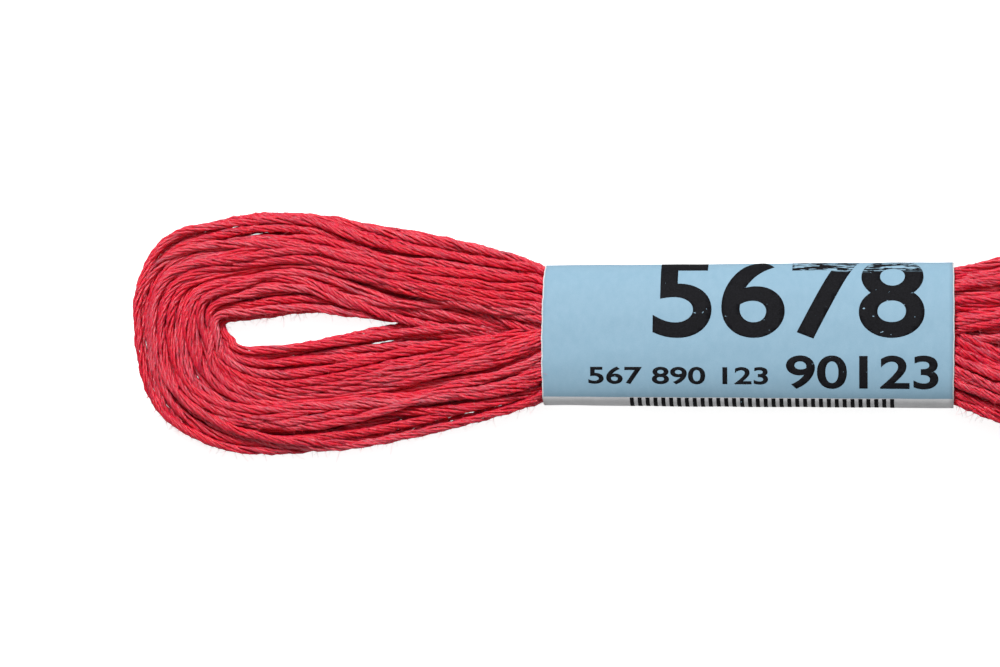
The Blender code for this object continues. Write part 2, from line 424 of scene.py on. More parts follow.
def ring():
    """Sections all round the skein from the band's middle, each with its place on a loop's table or -1.

    Returns arrays: rows, the limb's side, the place on the table and the roll in degrees.
    """
    count = (len(LEFT_LOOP) - 1) * STATIONS_PER_ROW + 1
    left = smooth_rows(LEFT_LOOP, count)
    right = left * (-1, -1, -1, -1, 1, 1)
    edge = BAND_HIGH[0] - BAND_ENDS
    half = BAND_STATIONS // 2
    place = np.linspace(0, len(LEFT_LOOP) - 1, count)
    loop_roll = smooth_step_through(place, ROLL_ROWS, ROLL_DEGREES)
    back_roll = np.linspace(ROLL_DEGREES[-1], ROLL_DEGREES[0], 2 * half + 2)[1:-1]
    none = np.full(half, -1.0)
    rows = np.vstack([
        band_rows(0, -edge, half, 1), left, band_rows(-edge, edge, 2 * half, -1), right,
        band_rows(edge, 0, half + 1, 1)[:-1],
    ])
    turn = count // 2
    side = np.concatenate([
        np.ones(half + turn), -np.ones(count - turn + 2 * half + turn), np.ones(count - turn + half)
    ])
    places = np.concatenate([none, place, none, none, place, none])
    roll = np.concatenate([back_roll[half:], loop_roll, back_roll, loop_roll, back_roll[:half]])
    return rows, side, places, roll


def smooth_step_through(place, knots, values):
    """Values between knots, eased so that they turn smoothly."""
    fine = np.linspace(0, knots[-1], ROLL_STEPS)
    padded = np.pad(np.interp(fine, knots, values), ROLL_EASE // 2, "edge")
    return np.interp(place, fine, running_mean(padded, ROLL_EASE, "valid"))


class Hank:
    """The room that the turns have at each station round the skein, and the frame of its sections."""

    def __init__(self):
        rows, self.side, self.place, self.roll = ring()
        inner, outer = rows[:, 0:2].copy(), rows[:, 2:4]
        low, high = rows[:, 4], rows[:, 5]
        seam = np.interp(abs(inner[:, 0]), [BAND_HIGH[0], EYE_X], [SEAM_AT_BAND, SEAM_AT_EYE])
        seam *= -np.clip(inner[:, 0] / BAND_HIGH[0], -1, 1)
        near = abs(inner[:, 0]) < EYE_X
        outer = outer + np.where(self.place >= 0, OUTER_ROOM, 0)[:, None] * unit(outer - inner)
        seam -= self.side * SEAM_LAP
        pressed = np.where(near, np.maximum(self.side * (seam - inner[:, 1]), 0), 0)
        inner[:, 1] += self.side * pressed
        self.fullness = 2 + PRESS_SQUARING * np.minimum(pressed, PRESS_MOST)
        across = outer - inner
        width = np.linalg.norm(across, axis=1)
        self.direction = across / width[:, None]
        self.middle = (inner + outer) / 2
        sink = SINK * np.clip(1 - low / LIFT_OFF, 0, 1)
        self.half_wide = width / 2
        self.half_tall = (high - low + sink) / 2
        self.height = low - sink + self.half_tall
        self.floor = low
        self.count = len(rows)
        self.lean = np.interp(abs(self.middle[:, 0]), LEAN_X, LEAN)
        self.in_band = np.flatnonzero(abs(self.middle[:, 0]) < BAND_HIGH[0] + MOUTH)
        wide, tall = band_size(self.middle[self.in_band, 0])
        clear = PAPER + UNDER_PAPER + THREAD / 2
        self.sleeve = (wide / 2 - clear, (tall + BAND_SINK) / 2 - clear, (tall - BAND_SINK) / 2)
        self.spacing = self.even_spacing()

    def even_spacing(self):
        """How far apart the turns' middles lie at each station when they fill the room evenly."""
        a = self.half_wide - THREAD / 2
        b = self.half_tall - THREAD / 2
        area = pi * a * b * (1 + SQUARER_AREA * (self.fullness - 2))
        edge = pi * np.sqrt(2 * (a**2 + b**2))
        # packed like hexagons a spacing s apart: TURNS - 1 = area / (HEXAGON_ROWS s^2) + edge / (2 s)
        square, linear = area / HEXAGON_ROWS, edge / 2
        share = (np.sqrt(linear**2 + 4 * square * (TURNS - 1)) - linear) / (2 * square)
        least, most = SPACING_LIMITS
        return np.clip(1 / share, least * THREAD, most * THREAD)

    def groove_cut(self, angle):
        """How much the grooves take off the room at an angle, for each turn and station."""
        cut = np.zeros_like(angle)
        for groove in GROOVES:
            span = groove.row_to - groove.row_from
            share = (self.place - groove.row_from) / span
            on = (self.place >= 0) & (share > 0) & (share < 1)
            fade = np.clip(GROOVE_FADE * share, 0, 1) * np.clip(GROOVE_FADE * (1 - share), 0, 1)
            fade = np.where(on, fade, 0)
            at = np.radians(groove.angle_from + (groove.angle_to - groove.angle_from) * share)
            off = (angle - at + pi) % TAU - pi
            cut += groove.depth * fade * np.exp(-((off / radians(groove.width)) ** 2))
        return cut

    def reach(self, turns):
        """How near the skin of the room each point is: 0 in the limb's middle, 1 at the skin."""
        a = turns[..., 0] / (self.half_wide - THREAD / 2)
        b = turns[..., 1] / (self.half_tall - THREAD / 2)
        power = np.where(a < 0, self.fullness, 2.0)
        size = (abs(a) ** power + abs(b) ** power) ** (1 / power)
        return size, np.arctan2(b, a)

    def keep_in(self, turns):
        """Moves each turn's point back into the room at its station. turns is (turn, station, 2)."""
        size, angle = self.reach(turns)
        room = 1 - self.groove_cut(angle) / self.half_tall
        turns /= np.maximum(size / room, 1)[..., None]
        lowest = self.floor + THREAD / 2 - self.height
        turns[..., 1] = np.maximum(turns[..., 1], lowest)
        self.keep_in_sleeve(turns)

    def keep_in_sleeve(self, turns):
        """The paper sleeve's room, which holds both limbs, each on its side of the middle."""
        half_wide, half_tall, middle = self.sleeve
        side = self.side[self.in_band]
        centre = self.middle[self.in_band, 1]
        height = self.height[self.in_band]
        y = centre + side * turns[:, self.in_band, 0]
        z = height + turns[:, self.in_band, 1] - middle
        size = abs(y / half_wide) ** BAND_FULLNESS + abs(z / half_tall) ** BAND_FULLNESS
        size = np.maximum(size ** (1 / BAND_FULLNESS), 1)
        y /= size
        z = np.maximum(z / size, 2 * PAPER + UNDER_PAPER + THREAD / 2 - middle)
        turns[:, self.in_band, 0] = (y - centre) * side
        turns[:, self.in_band, 1] = z + middle - height

    def points(self, turns):
        """The places, in space, of points given across and up from each section's middle."""
        flat = self.middle + self.direction * turns[..., :1]
        flat[..., 1] -= self.lean * turns[..., 1]
        return np.concatenate([flat, (self.height + turns[..., 1])[..., None]], axis=2)

    def outward(self, turns):
        """The way, in space, from each point straight out of the limb."""
        out = turns / np.stack([self.half_wide, self.half_tall], axis=1) ** 2
        flat = self.direction * out[..., :1]
        way = np.concatenate([flat, out[..., 1:]], axis=2)
        return way / np.linalg.norm(way, axis=2)[..., None]


def slots():
    """Places for the turns in a unit disc, ordered so that each lies next to the one before."""
    i = np.arange(TURNS)
    radius = np.sqrt((i + 0.5) / TURNS)
    angle = i * pi * (3 - 5**0.5)
    shell = np.floor(radius * SHELLS)
    order = np.lexsort((angle % TAU, shell))
    return radius[order], angle[order]


def wound_turns(hank, rng):
    """Where each turn starts in each section: its slot, rolled round the limb and wandering in it."""
    radius, angle = slots()
    along = np.arange(TURNS * hank.count) / hank.count
    wander = np.zeros((TURNS * hank.count, 2))
    for _ in range(WANDER_WAVES):
        waves = rng.uniform(*WANDER_TURNS)
        phase = rng.uniform(0, TAU, 2)
        size = WANDER * rng.uniform(*WANDER_SIZES)
        wander[:, 0] += size * np.sin(TAU * waves * along + phase[0])
        wander[:, 1] += size * np.sin(TAU * waves * along * WANDER_UP + phase[1])
    wander = wander.reshape(TURNS, hank.count, 2)
    turned = angle[:, None] - np.radians(hank.roll)[None, :]
    disc = np.stack([radius[:, None] * np.cos(turned), radius[:, None] * np.sin(turned)], axis=2)
    disc += wander
    return disc * np.stack([hank.half_wide, hank.half_tall], axis=1)[None] * START_FILL


def smooth_chain(chain, stride, share):
    """Draws each point of the chain towards the middle of its neighbours a stride away."""
    middle = 0.5 * (chain[: -2 * stride] + chain[2 * stride :])
    chain[stride:-stride] += share[stride:-stride, None] * (middle - chain[stride:-stride])


def stride_shares(turns, hank):
    """How strongly each stride smooths each point: strides longer than their reach don't."""
    points = hank.points(turns).reshape(-1, 3)
    step = np.linalg.norm(np.gradient(points, axis=0), axis=1)
    shares = []
    for stride in STRIDES:
        within = 2 * (1 - stride * step / STRIDE_REACH)
        shares.append(SMOOTHING * np.clip(within, float(stride == 1), 1))
    return shares


def push_apart(turns, size, share):
    """Moves turns that are nearer than size away from each other, at each station."""
    gap = turns[:, None] - turns[None]
    distance = np.sqrt((gap**2).sum(3)) + TINY
    push = np.maximum(size - distance, 0) / distance
    np.einsum("iis->is", push)[...] = 0
    turns += share * (gap * push[..., None]).sum(1)


def relax(turns, hank):
    """Packs the turns: they keep apart, keep to smooth paths and stay in the hank's room."""
    wished = turns.copy()
    chain = turns.reshape(-1, 2)
    for number in range(ROUNDS):
        late = number / ROUNDS
        if number % SHARES_EVERY == 0:
            shares = stride_shares(turns, hank)
        for stride, share in zip(STRIDES, shares):
            smooth_chain(chain, stride, share)
        turns += HOLD * (1 - late) * (wished - turns)
        push_apart(turns, hank.spacing * min(1.0, FIRST_SIZE + GROWTH * late), PUSH)
        hank.keep_in(turns)
    for number in range(EASINGS):
        ease_steep(turns, hank)
        if number == FILL_AT:
            fill_width(turns, hank)
        gather(turns)
        push_apart(turns, hank.spacing, LATE_PUSH * (1 - number / EASINGS))
        hank.keep_in(turns)
    for _ in range(LAST_SMOOTHINGS):
        ease_steep(turns, hank)
    hank.keep_in_sleeve(turns)
    return turns


def gather(turns):
    """Draws the outermost turn on each side of every section in towards the next, if it stands off."""
    stations = np.arange(turns.shape[1])
    order = np.argsort(turns[..., 0], axis=0)
    for first, second, way in ((order[-1], order[-2], 1), (order[0], order[1], -1)):
        gap = way * (turns[first, stations, 0] - turns[second, stations, 0])
        turns[first, stations, 0] -= way * np.maximum(gap - STAND_OFF, 0)


def fill_width(turns, hank):
    """Stretches each section's turns across until the outermost ones lie at the room's two sides."""
    gather(turns)
    low, high = turns[..., 0].min(axis=0), turns[..., 0].max(axis=0)
    wanted = hank.half_wide - THREAD / 2 - FILL_SHORT
    grow = 2 * wanted / (high - low)
    shift = wanted - high * 2 * wanted / (high - low)
    pad = FILL_EASE // 2
    grow, shift = (running_mean(np.pad(size, pad, "wrap"), FILL_EASE, "valid") for size in (grow, shift))
    turns[..., 0] = turns[..., 0] * grow + shift


def ease_steep(turns, hank):
    """Smooths the stretches where the thread crosses its limb steeply or swerves sharply, others hardly."""
    chain = turns.reshape(-1, 2)
    step = np.linalg.norm(np.gradient(hank.points(turns).reshape(-1, 3), axis=0), axis=1)
    across = np.gradient(chain, axis=0) / step[:, None]
    slope = np.linalg.norm(across, axis=1) / STEEP_FROM
    swerve = np.linalg.norm(np.gradient(across, axis=0), axis=1) / step / SWERVE_FROM
    worst = running_mean(np.maximum(slope, swerve), RUN)
    share = np.clip(0.5 * (worst - 1), EASE_LEAST, EASE_MOST)
    for stride in SHORT_STRIDES:
        smooth_chain(chain, stride, share)


def let_stray(turns, hank):
    """Lifts a few outer threads off the hank, over a short stretch of each loop."""
    for stray in STRAYS:
        share = (hank.place - stray.row_from) / (stray.row_to - stray.row_from)
        window = np.where((hank.place >= 0) & (share > 0) & (share < 1), np.sin(pi * share) ** 2, 0)
        stations = np.flatnonzero(window > 0)
        for run in np.split(stations, np.flatnonzero(np.diff(stations) > 1) + 1):
            middle = run[len(run) // 2]
            way = np.array([cos(radians(stray.angle)), sin(radians(stray.angle))])
            size = np.array([hank.half_wide[middle], hank.half_tall[middle]])
            picked = np.argsort(-(turns[:, middle] / size @ way))[: stray.count]
            turns[np.ix_(picked, run)] += window[run][None, :, None] * (stray.out, stray.up)


def curve_through(points, per_span):
    """Catmull-Rom curve through many points, as a fine line."""
    ends = with_ends(points)
    t = (np.arange(per_span) / per_span)[None, :, None]
    a, b, c, d = (ends[i : len(points) - 1 + i][:, None] for i in range(4))
    return np.vstack([catmull_rom(a, b, c, d, t).reshape(-1, 3), points[-1:]])


def noise_along(length, uneven, rng, count=1):
    """Smooth random values along lengths in millimetres, one column each."""
    total = np.zeros((len(length), count))
    for _ in range(NOISE_WAVES):
        turns = rng.uniform(*NOISE_PACES, count) / uneven.wave
        total += np.sin(TAU * length[:, None] * turns + rng.uniform(0, TAU, count))
    return uneven.size * (total / NOISE_SCALE)


class ThreadLine:
    """The whole thread's middle line with rings to build on, closer together where it bends or shows."""

    def __init__(self, hank, turns, rng):
        line = curve_through(hank.points(turns).reshape(-1, 3), LINE_STEPS)
        step = np.linalg.norm(np.diff(line, axis=0), axis=1)
        length = np.concatenate([[0], np.cumsum(step)])
        ahead = np.diff(line, axis=0) / step[:, None]
        bend = np.zeros(len(line))
        bend[1:-1] = np.linalg.norm(np.diff(ahead, axis=0), axis=1) / (0.5 * (step[1:] + step[:-1]))
        at_line = np.arange(len(line)) / LINE_STEPS
        at_turns = np.arange(turns.shape[0] * turns.shape[1])
        reach = np.interp(at_line, at_turns, hank.reach(turns)[0].ravel())
        hidden = abs(line[:, 0]) < BAND_HIGH[0] - HIDDEN_IN
        shown = np.clip((reach - DEEP[0]) / (DEEP[1] - DEEP[0]), 0, 1)
        shown = running_mean(np.where(hidden, 0, shown), SHOWN_RUN)
        density = 1 / RING_STEP_DEEP + (1 / RING_STEP - 1 / RING_STEP_DEEP) * shown
        density = np.maximum(density, running_mean(bend, RUN) / BEND_STEP)
        tally = running_sum(np.where(hidden, 1 / RING_STEP_HIDDEN, density), step)
        wanted = np.linspace(0, tally[-1], int(tally[-1]) + 1)

        def at_rings(values):
            return np.interp(wanted, tally, values)

        def each_at_rings(vectors):
            return np.column_stack([at_rings(vectors[:, k]) for k in range(3)])

        self.length = at_rings(length)
        self.centre = each_at_rings(line)
        self.tangent = unit(each_at_rings(np.gradient(line, length, axis=0)))
        self.side = unit(np.cross(self.tangent, (0, 0, 1)))
        self.up = np.cross(self.side, self.tangent)
        twist = shown * TAU / LAY_LENGTH * (1 + noise_along(length, LAY_UNEVEN, rng)[:, 0])
        self.twist = at_rings(running_sum(twist, step))
        self.reach = at_rings(reach)
        outward = hank.outward(turns).reshape(-1, 3)
        outward = np.column_stack([np.interp(at_line, at_turns, outward[:, k]) for k in range(3)])
        self.outward = unit(each_at_rings(outward))


def unit(ways):
    return ways / np.linalg.norm(ways, axis=-1)[..., None]


def strand_lines(thread, rng):
    """Each strand's middle line, (ring, strand, 3), with its angle round the thread."""
    angle = thread.twist[:, None] + np.arange(STRANDS) * TAU / STRANDS
    angle = angle + noise_along(thread.length, STRAND_TURNING, rng, STRANDS)
    offset = STRAND_OFFSET * (1 + noise_along(thread.length, STRAND_SPREAD, rng, STRANDS))
    # side x up points back along the thread, so a right-handed lay turns from up towards side
    out = -np.cos(angle)[..., None] * thread.side[:, None] + np.sin(angle)[..., None] * thread.up[:, None]
    return thread.centre[:, None] + offset[..., None] * out, angle


def new_mesh_object(name, points, quads, extra=()):
    """An object with a smooth mesh of quads and of the extra faces, from points in millimetres."""
    mesh = bpy.data.meshes.new(name)
    corners = np.concatenate([quads.reshape(-1), *[np.asarray(f) for f in extra]]).astype(np.int32)
    sizes = np.concatenate([np.full(len(quads), 4), [len(f) for f in extra]]).astype(np.int32)
    starts = np.concatenate([[0], np.cumsum(sizes)[:-1]]).astype(np.int32)
    mesh.vertices.add(len(points))
    mesh.vertices.foreach_set("co", (points * MM).astype(np.float32).ravel())
    mesh.loops.add(len(corners))
    mesh.loops.foreach_set("vertex_index", corners)
    mesh.polygons.add(len(sizes))
    mesh.polygons.foreach_set("loop_start", starts)
    mesh.polygons.foreach_set("use_smooth", np.ones(len(sizes), bool))
    mesh.update(calc_edges=True)
    mesh.validate()
    return add_object(name, mesh)


def tube_faces(rings, tubes, sides):
    """Quads of tubes that are stored ring by ring, and the two caps of each tube."""
    i, j, k = np.meshgrid(np.arange(rings - 1), np.arange(tubes), np.arange(sides), indexing="ij")

    def at(ring, side):
        return (ring * tubes + j) * sides + side % sides

    quads = np.stack([at(i, k), at(i, k + 1), at(i + 1, k + 1), at(i + 1, k)], axis=-1).reshape(-1, 4)
    first = np.arange(tubes * sides).reshape(tubes, sides)
    last = first + (rings - 1) * tubes * sides
    return quads, [row[::-1] for row in first] + [row for row in last]


def add_attribute(obj, name, kind, values):
    made = obj.data.attributes.new(name, kind, "POINT")
    made.data.foreach_set("value" if kind == "FLOAT" else "vector", values.astype(np.float32).ravel())


def make_turns(thread, rng):
    """Meshes of the thread's strands, each holding an equal run of rings."""
    lines, angle = strand_lines(thread, rng)
    tone = MIDDLE_TONE + noise_along(thread.length, TURN_TONE, rng)
    tone = tone + noise_along(thread.length, STRAND_TONE, rng, STRANDS)
    radius = STRAND_RADIUS * (1 + noise_along(thread.length, RADIUS_UNEVEN, rng, STRANDS))
    own = np.arange(STRAND_SIDES) * TAU / STRAND_SIDES
    objects = []
    for number in range(PIECES):
        first, last = (len(lines) * share // PIECES for share in (number, number + 1))
        where = np.arange(max(first - 1, 0), last)
        around = angle[where][..., None] + own
        side = thread.side[where][:, None, None]
        up = thread.up[where][:, None, None]
        circle = -np.cos(around)[..., None] * side + np.sin(around)[..., None] * up
        points = lines[where][:, :, None] + radius[where][..., None, None] * circle
        low = points[..., 2] < REST_SOFT
        points[..., 2][low] = REST_SOFT * np.exp(points[..., 2][low] / REST_SOFT - 1)
        quads, caps = tube_faces(len(where), STRANDS, STRAND_SIDES)
        obj = new_mesh_object(f"floss_turns_{number + 1}", points.reshape(-1, 3), quads, caps)
        add_attribute(obj, "tone", "FLOAT", np.broadcast_to(tone[where][..., None], around.shape))
        lay = np.zeros(around.shape + (3,))
        lay[..., 0] = np.cos(own)
        lay[..., 1] = np.sin(own)
        lay[..., 2] = (thread.length[where][:, None] + STRAND_PHASE * np.arange(STRANDS))[..., None]
        add_attribute(obj, "lay", "FLOAT_VECTOR", lay)
        objects.append(obj)
    return objects


def make_fuzz(thread, rng):
    """Stray fibres that stand off the outer threads, each a fine tapered hair."""
    weight = np.gradient(thread.length) * np.clip((thread.reach - HAIRY_FROM) / HAIRY_OVER, 0, 1)
    weight *= abs(thread.centre[:, 0]) > BAND_HIGH[0] + HAIR_CLEAR
    weight *= 1 + FRONT_HAIRS * (thread.outward[:, 1] < FRONT_FACING)
    root = np.searchsorted(np.cumsum(weight) / weight.sum(), rng.random(HAIRS))
    tangent = thread.tangent[root]
    way = unit(thread.outward[root] + HAIR_SCATTER * rng.normal(size=(HAIRS, 3)))
    way = unit(way - tangent * (way * tangent).sum(1)[:, None])
    start = thread.centre[root] + (STRAND_OFFSET + 0.5 * STRAND_RADIUS) * way
    along = rng.choice([-1, 1], HAIRS)[:, None] * rng.random(HAIRS)[:, None]
    lean = unit(HAIR_OUT * way + HAIR_ALONG * tangent * along)
    curl = unit(rng.normal(size=(HAIRS, 3)))
    size = HAIR_LENGTH[0] + (HAIR_LENGTH[1] - HAIR_LENGTH[0]) * rng.random(HAIRS) ** HAIR_SHORTNESS
    share = np.linspace(0, 1, HAIR_RINGS + 1)[None, :, None]
    path = share * lean[:, None] + HAIR_CURL * share**2 * curl[:, None]
    line = start[:, None] + size[:, None, None] * path
    line[..., 2] = np.maximum(line[..., 2], HAIR_LOWEST)
    side = unit(np.cross(lean, curl))
    other = np.cross(lean, side)
    thick = HAIR_RADIUS * (1 - HAIR_TAPER * share[..., 0]) * np.ones((HAIRS, 1))
    corner = np.arange(HAIR_SIDES) * TAU / HAIR_SIDES
    circle = np.cos(corner)[:, None] * side[:, None, None] + np.sin(corner)[:, None] * other[:, None, None]
    points = line[:, :, None] + thick[..., None, None] * circle
    points = points.transpose(1, 0, 2, 3)
    quads, caps = tube_faces(HAIR_RINGS + 1, HAIRS, HAIR_SIDES)
    fuzz = new_mesh_object("floss_fuzz", points.reshape(-1, 3), quads, caps)
    tone = rng.random(HAIRS)[None, :, None]
    add_attribute(fuzz, "tone", "FLOAT", np.broadcast_to(tone, points.shape[:3]))
    return fuzz


def floss_material():
    """Mercerised cotton: two plies twisted in each strand, fine fibres along them, a soft sheen. The ply
    pattern also paints shade into the grooves between plies and highlights onto their crests.
    """
    look = Look("floss_cotton", FLOSS_FINISH)
    lay = look.attribute("lay")["Vector"]
    turned = look.nodes.new("ShaderNodeVectorRotate")
    turned.rotation_type = "Z_AXIS"
    look.links.new(lay, turned.inputs["Vector"])
    look.links.new(look.math("MULTIPLY", look.parts(lay)["Z"], -TAU / PLY_PITCH), turned.inputs["Angle"])
    twisted = turned.outputs["Vector"]
    plies = look.math("POWER", look.math("ABSOLUTE", look.parts(twisted)["X"]), PLY_ROUNDNESS)
    fibres = look.noise(twisted, FIBRES)
    blotches = look.noise(lay, BLOTCHES)
    shade = look.math("MULTIPLY_ADD", look.attribute("tone")["Fac"], TONE_SHARE, SHADE_FROM)
    # The plies' share paints darker shade into the grooves between plies and a painted highlight onto their
    # crests.
    for pattern, share in ((fibres, FIBRE_SHARE), (plies, PLY_PAINTED_LIGHT_SHARE), (blotches, BLOTCH_SHARE)):
        shade = look.math("MULTIPLY_ADD", pattern, share, shade)
    # The ramp's dark end paints shade into the ply grooves and its pale pink end paints highlights onto the
    # ply crests.
    colour = look.ramp(shade, *zip(FLOSS_STOPS, (FLOSS_DARK_AND_PAINTED_SHADE, FLOSS_MID, FLOSS_PALE_AND_PAINTED_HIGHLIGHT)))
    look.show(colour, look.math("MULTIPLY_ADD", plies, PLY_HEIGHT, fibres), FLOSS_BUMP)
    return look.material


def fuzz_material():
    """Single fibres: paler than the thread, because light passes through them."""
    look = Look("floss_fibre", FIBRE_FINISH)
    look.show(look.ramp(look.attribute("tone")["Fac"], (0.0, FLOSS_MID), (1.0, FIBRE_PALE)))
    return look.material


def ripple(waves, x, along):
    """The product of two waves, each with its pace along x, its pace round the sleeve and its phase."""
    first, second = (np.sin(wave.x * x + wave.along * along + wave.phase) for wave in waves)
    return first * second


class Sleeve:
    """The paper sleeve's outer side: places on it by x and by the length round it.

    The length starts at the underside's middle and grows up the +Y side, over the top and down the -Y side.
    """

    def __init__(self):
        self.angle = np.linspace(-pi / 2, 3 * pi / 2, SLEEVE_STEPS)
        y, z = self.outline(0.0, self.angle)
        self.length = np.concatenate([[0], np.cumsum(np.hypot(np.diff(y), np.diff(z)))])
        self.round = self.length[-1]

    def outline(self, x, angle):
        wide, tall = band_size(x)
        c, s = np.cos(angle), np.sin(angle)
        power = 2 / BAND_FULLNESS
        y = wide / 2 * np.sign(c) * abs(c) ** power
        z = (tall - BAND_SINK) / 2 + (tall + BAND_SINK) / 2 * np.sign(s) * abs(s) ** power
        return y, np.maximum(z, UNDERSIDE)

    def place(self, x, along, lift):
        """Points on the sleeve, lifted off it by lift."""
        y0, z0, y1, z1 = (
            value
            for way in (-SLEEVE_FEEL, SLEEVE_FEEL)
            for value in self.outline(x, np.interp((along + way) % self.round, self.length, self.angle))
        )
        y, z = self.outline(x, np.interp(along % self.round, self.length, self.angle))
        size = np.hypot(y1 - y0, z1 - z0)
        lift = lift - self.dent(x, along)
        z = np.maximum(z - lift * (y1 - y0) / size, UNDERSIDE)
        return np.stack([x, y + lift * (z1 - z0) / size, z], axis=-1)

    def dent(self, x, along):
        """How far the paper is pressed in: long soft dents, none where it lies on the table."""
        soft, fine = ripple(SOFT_DENTS, x, along), ripple(FINE_DENTS, x, along)
        free = np.clip((np.minimum(along, self.round - along) - DENTS_FROM) / DENTS_OVER, 0, 1)
        return free * (DENT_DEPTH + DENT_SOFT * soft + DENT_FINE * fine)

    def ends(self, along):
        """Where the strip's two cut edges lie along X: furthest out over the top."""
        top = 0.5 - 0.5 * np.cos(TAU * np.clip(along / self.round, 0, 1))
        cut = BAND_HIGH[0] - EDGE_BOW * (1 - top)
        rough = sum(depth * np.sin(pace * along + phase) for depth, pace, phase in CUT_WAVES)
        return -cut + rough, cut - RIGHT_ROUGH * rough


def grid_shell(name, outer, inner):
    """A closed thin shell between two grids of points of the same shape."""
    rows, columns = outer.shape[:2]
    points = np.concatenate([outer.reshape(-1, 3), inner.reshape(-1, 3)])
    at = np.arange(rows * columns).reshape(rows, columns)
    under = at + rows * columns
    face = np.stack([at[:-1, :-1], at[1:, :-1], at[1:, 1:], at[:-1, 1:]], axis=-1).reshape(-1, 4)
    back = np.stack([under[:-1, :-1], under[:-1, 1:], under[1:, 1:], under[1:, :-1]], axis=-1).reshape(-1, 4)
    rim = np.concatenate([at[:-1, 0], at[-1, :-1], at[:0:-1, -1], at[0, :0:-1]])
    low = np.concatenate([under[:-1, 0], under[-1, :-1], under[:0:-1, -1], under[0, :0:-1]])
    wall = np.stack([rim, low, np.roll(low, -1), np.roll(rim, -1)], axis=-1)
    return new_mesh_object(name, points, np.concatenate([face, back, wall]))


def make_band(sleeve):
    """The strip of paper: wound once round, with its last stretch glued over its first underneath."""
    along = np.linspace(-BAND_LAP / 2, sleeve.round + BAND_LAP / 2, STRIP_ROWS)
    share = np.linspace(0, 1, STRIP_COLUMNS)
    first, last = sleeve.ends(along)
    x = first[:, None] + (last - first)[:, None] * share
    rows = np.broadcast_to(along[:, None], x.shape)
    inset = (PAPER + LAP_ROOM) * np.clip((BAND_LAP / 2 + LAP_RAMP - rows) / LAP_RAMP, 0, 1)
    outer = sleeve.place(x, rows, -inset)
    inner = sleeve.place(x, rows, -inset - PAPER)
    band = grid_shell("paper_sleeve", outer, inner)
    sheet = np.stack([x, rows, np.minimum(x - first[:, None], last[:, None] - x)], axis=-1)
    inside = sheet + (0, INSIDE_PAPER, 0)
    add_attribute(band, "sheet", "FLOAT_VECTOR", np.concatenate([sheet, inside]))
    return band


def flat_figures(line):
    """A mesh of plain figures, drawn flat: its own x is along the band and its y up the face."""
    letters = bpy.data.curves.new("figures", "FONT")
    letters.body = line.figures
    letters.size = 1.0
    letters.offset = FIGURE_BOLD
    letters.resolution_u = FIGURE_STEPS
    holder = add_object("figures", letters)
    bpy.context.view_layer.update()
    mesh = bpy.data.meshes.new_from_object(holder)
    bpy.data.objects.remove(holder)
    bm = bmesh.new()
    bm.from_mesh(mesh)
    bpy.data.meshes.remove(mesh)
    bmesh.ops.remove_doubles(bm, verts=bm.verts, dist=FIGURE_WELD)
    spots = np.array([vert.co[:2] for vert in bm.verts])
    low, high = spots.min(axis=0), spots.max(axis=0)
    size = np.array([line.x_to - line.x_from, line.bottom - line.top]) / (high - low)
    for vert in bm.verts:
        vert.co.x, vert.co.y = (vert.co.x - low[0]) * size[0], (vert.co.y - low[1]) * size[1]
    return bm


def bar_row():
    """Plain bars, all alike and evenly spaced, drawn flat as the figures are."""
    bm = bmesh.new()
    width = (BARS.x_to - BARS.x_from) / (2 * BARS.count - 1)
    top = BARS.bottom - BARS.top
    for number in range(BARS.count):
        x = 2 * width * number
        corners = ((x, 0.0, 0), (x + width, 0.0, 0), (x + width, top, 0), (x, top, 0))
        bm.faces.new([bm.verts.new(corner) for corner in corners])
    return bm


def cut_up(bm):
    """Cuts a flat drawing into small pieces, so that it can bend round the sleeve, and cleans its corners."""
    for axis, step in ((0, PRINT_COLUMN), (1, PRINT_STRIP)):
        way = Vector((1 - axis, axis, 0))
        far = max(vert.co[axis] for vert in bm.verts)
        for level in np.arange(step, far, step):
            whole = [*bm.verts, *bm.edges, *bm.faces]
            bmesh.ops.bisect_plane(bm, geom=whole, plane_co=way * level, plane_no=way, dist=PRINT_WELD)
    bmesh.ops.remove_doubles(bm, verts=bm.verts, dist=PRINT_WELD)
    bmesh.ops.dissolve_degenerate(bm, dist=PRINT_WELD, edges=bm.edges)
    bmesh.ops.triangulate(bm, faces=bm.faces)
    loose = [vert for vert in bm.verts if not vert.link_faces]
    bmesh.ops.delete(bm, geom=loose, context="VERTS")
    for edge in [edge for edge in bm.edges if len(edge.link_faces) > 2]:
        if edge.is_valid and len(edge.link_faces) > 2:
            smallest = min(edge.link_faces, key=lambda face: face.calc_area())
            bmesh.ops.delete(bm, geom=[smallest], context="FACES")
    for vert in list(bm.verts):
        rim = [edge for edge in vert.link_edges if edge.is_boundary]
        if len(rim) > 2:
            bmesh.utils.vert_separate(vert, rim)
    for face in bm.faces:
        face.smooth = True


def wrap_print(name, bm, x_from, bottom, sleeve):
    """Wraps a flat drawing round the sleeve and gives it the ink's thickness."""
    cut_up(bm)
    flat = np.array([vert.co[:] for vert in bm.verts])
    x, along = x_from + flat[:, 0], bottom - flat[:, 1]
    for vert, place in zip(bm.verts, sleeve.place(x, along, INK_LIFT)):
        vert.co = place * MM
    mesh = bpy.data.meshes.new(name)
    bm.to_mesh(mesh)
    bm.free()
    ink = add_object(name, mesh)
    add_attribute(ink, "sheet", "FLOAT_VECTOR", np.stack([x, along, flat[:, 1]], axis=-1))
    film = ink.modifiers.new("film", "SOLIDIFY")
    film.thickness = INK_THICKNESS * MM
    film.offset = -1.0
    return ink


def make_print(sleeve):
    """All that is printed on the band: three lines of plain figures and a row of plain bars."""
    inks = []
    for line in PRINT_LINES:
        inks.append(wrap_print(line.name, flat_figures(line), line.x_from, line.bottom, sleeve))
    inks.append(wrap_print("print_bars", bar_row(), BARS.x_from, BARS.bottom, sleeve))
    return inks


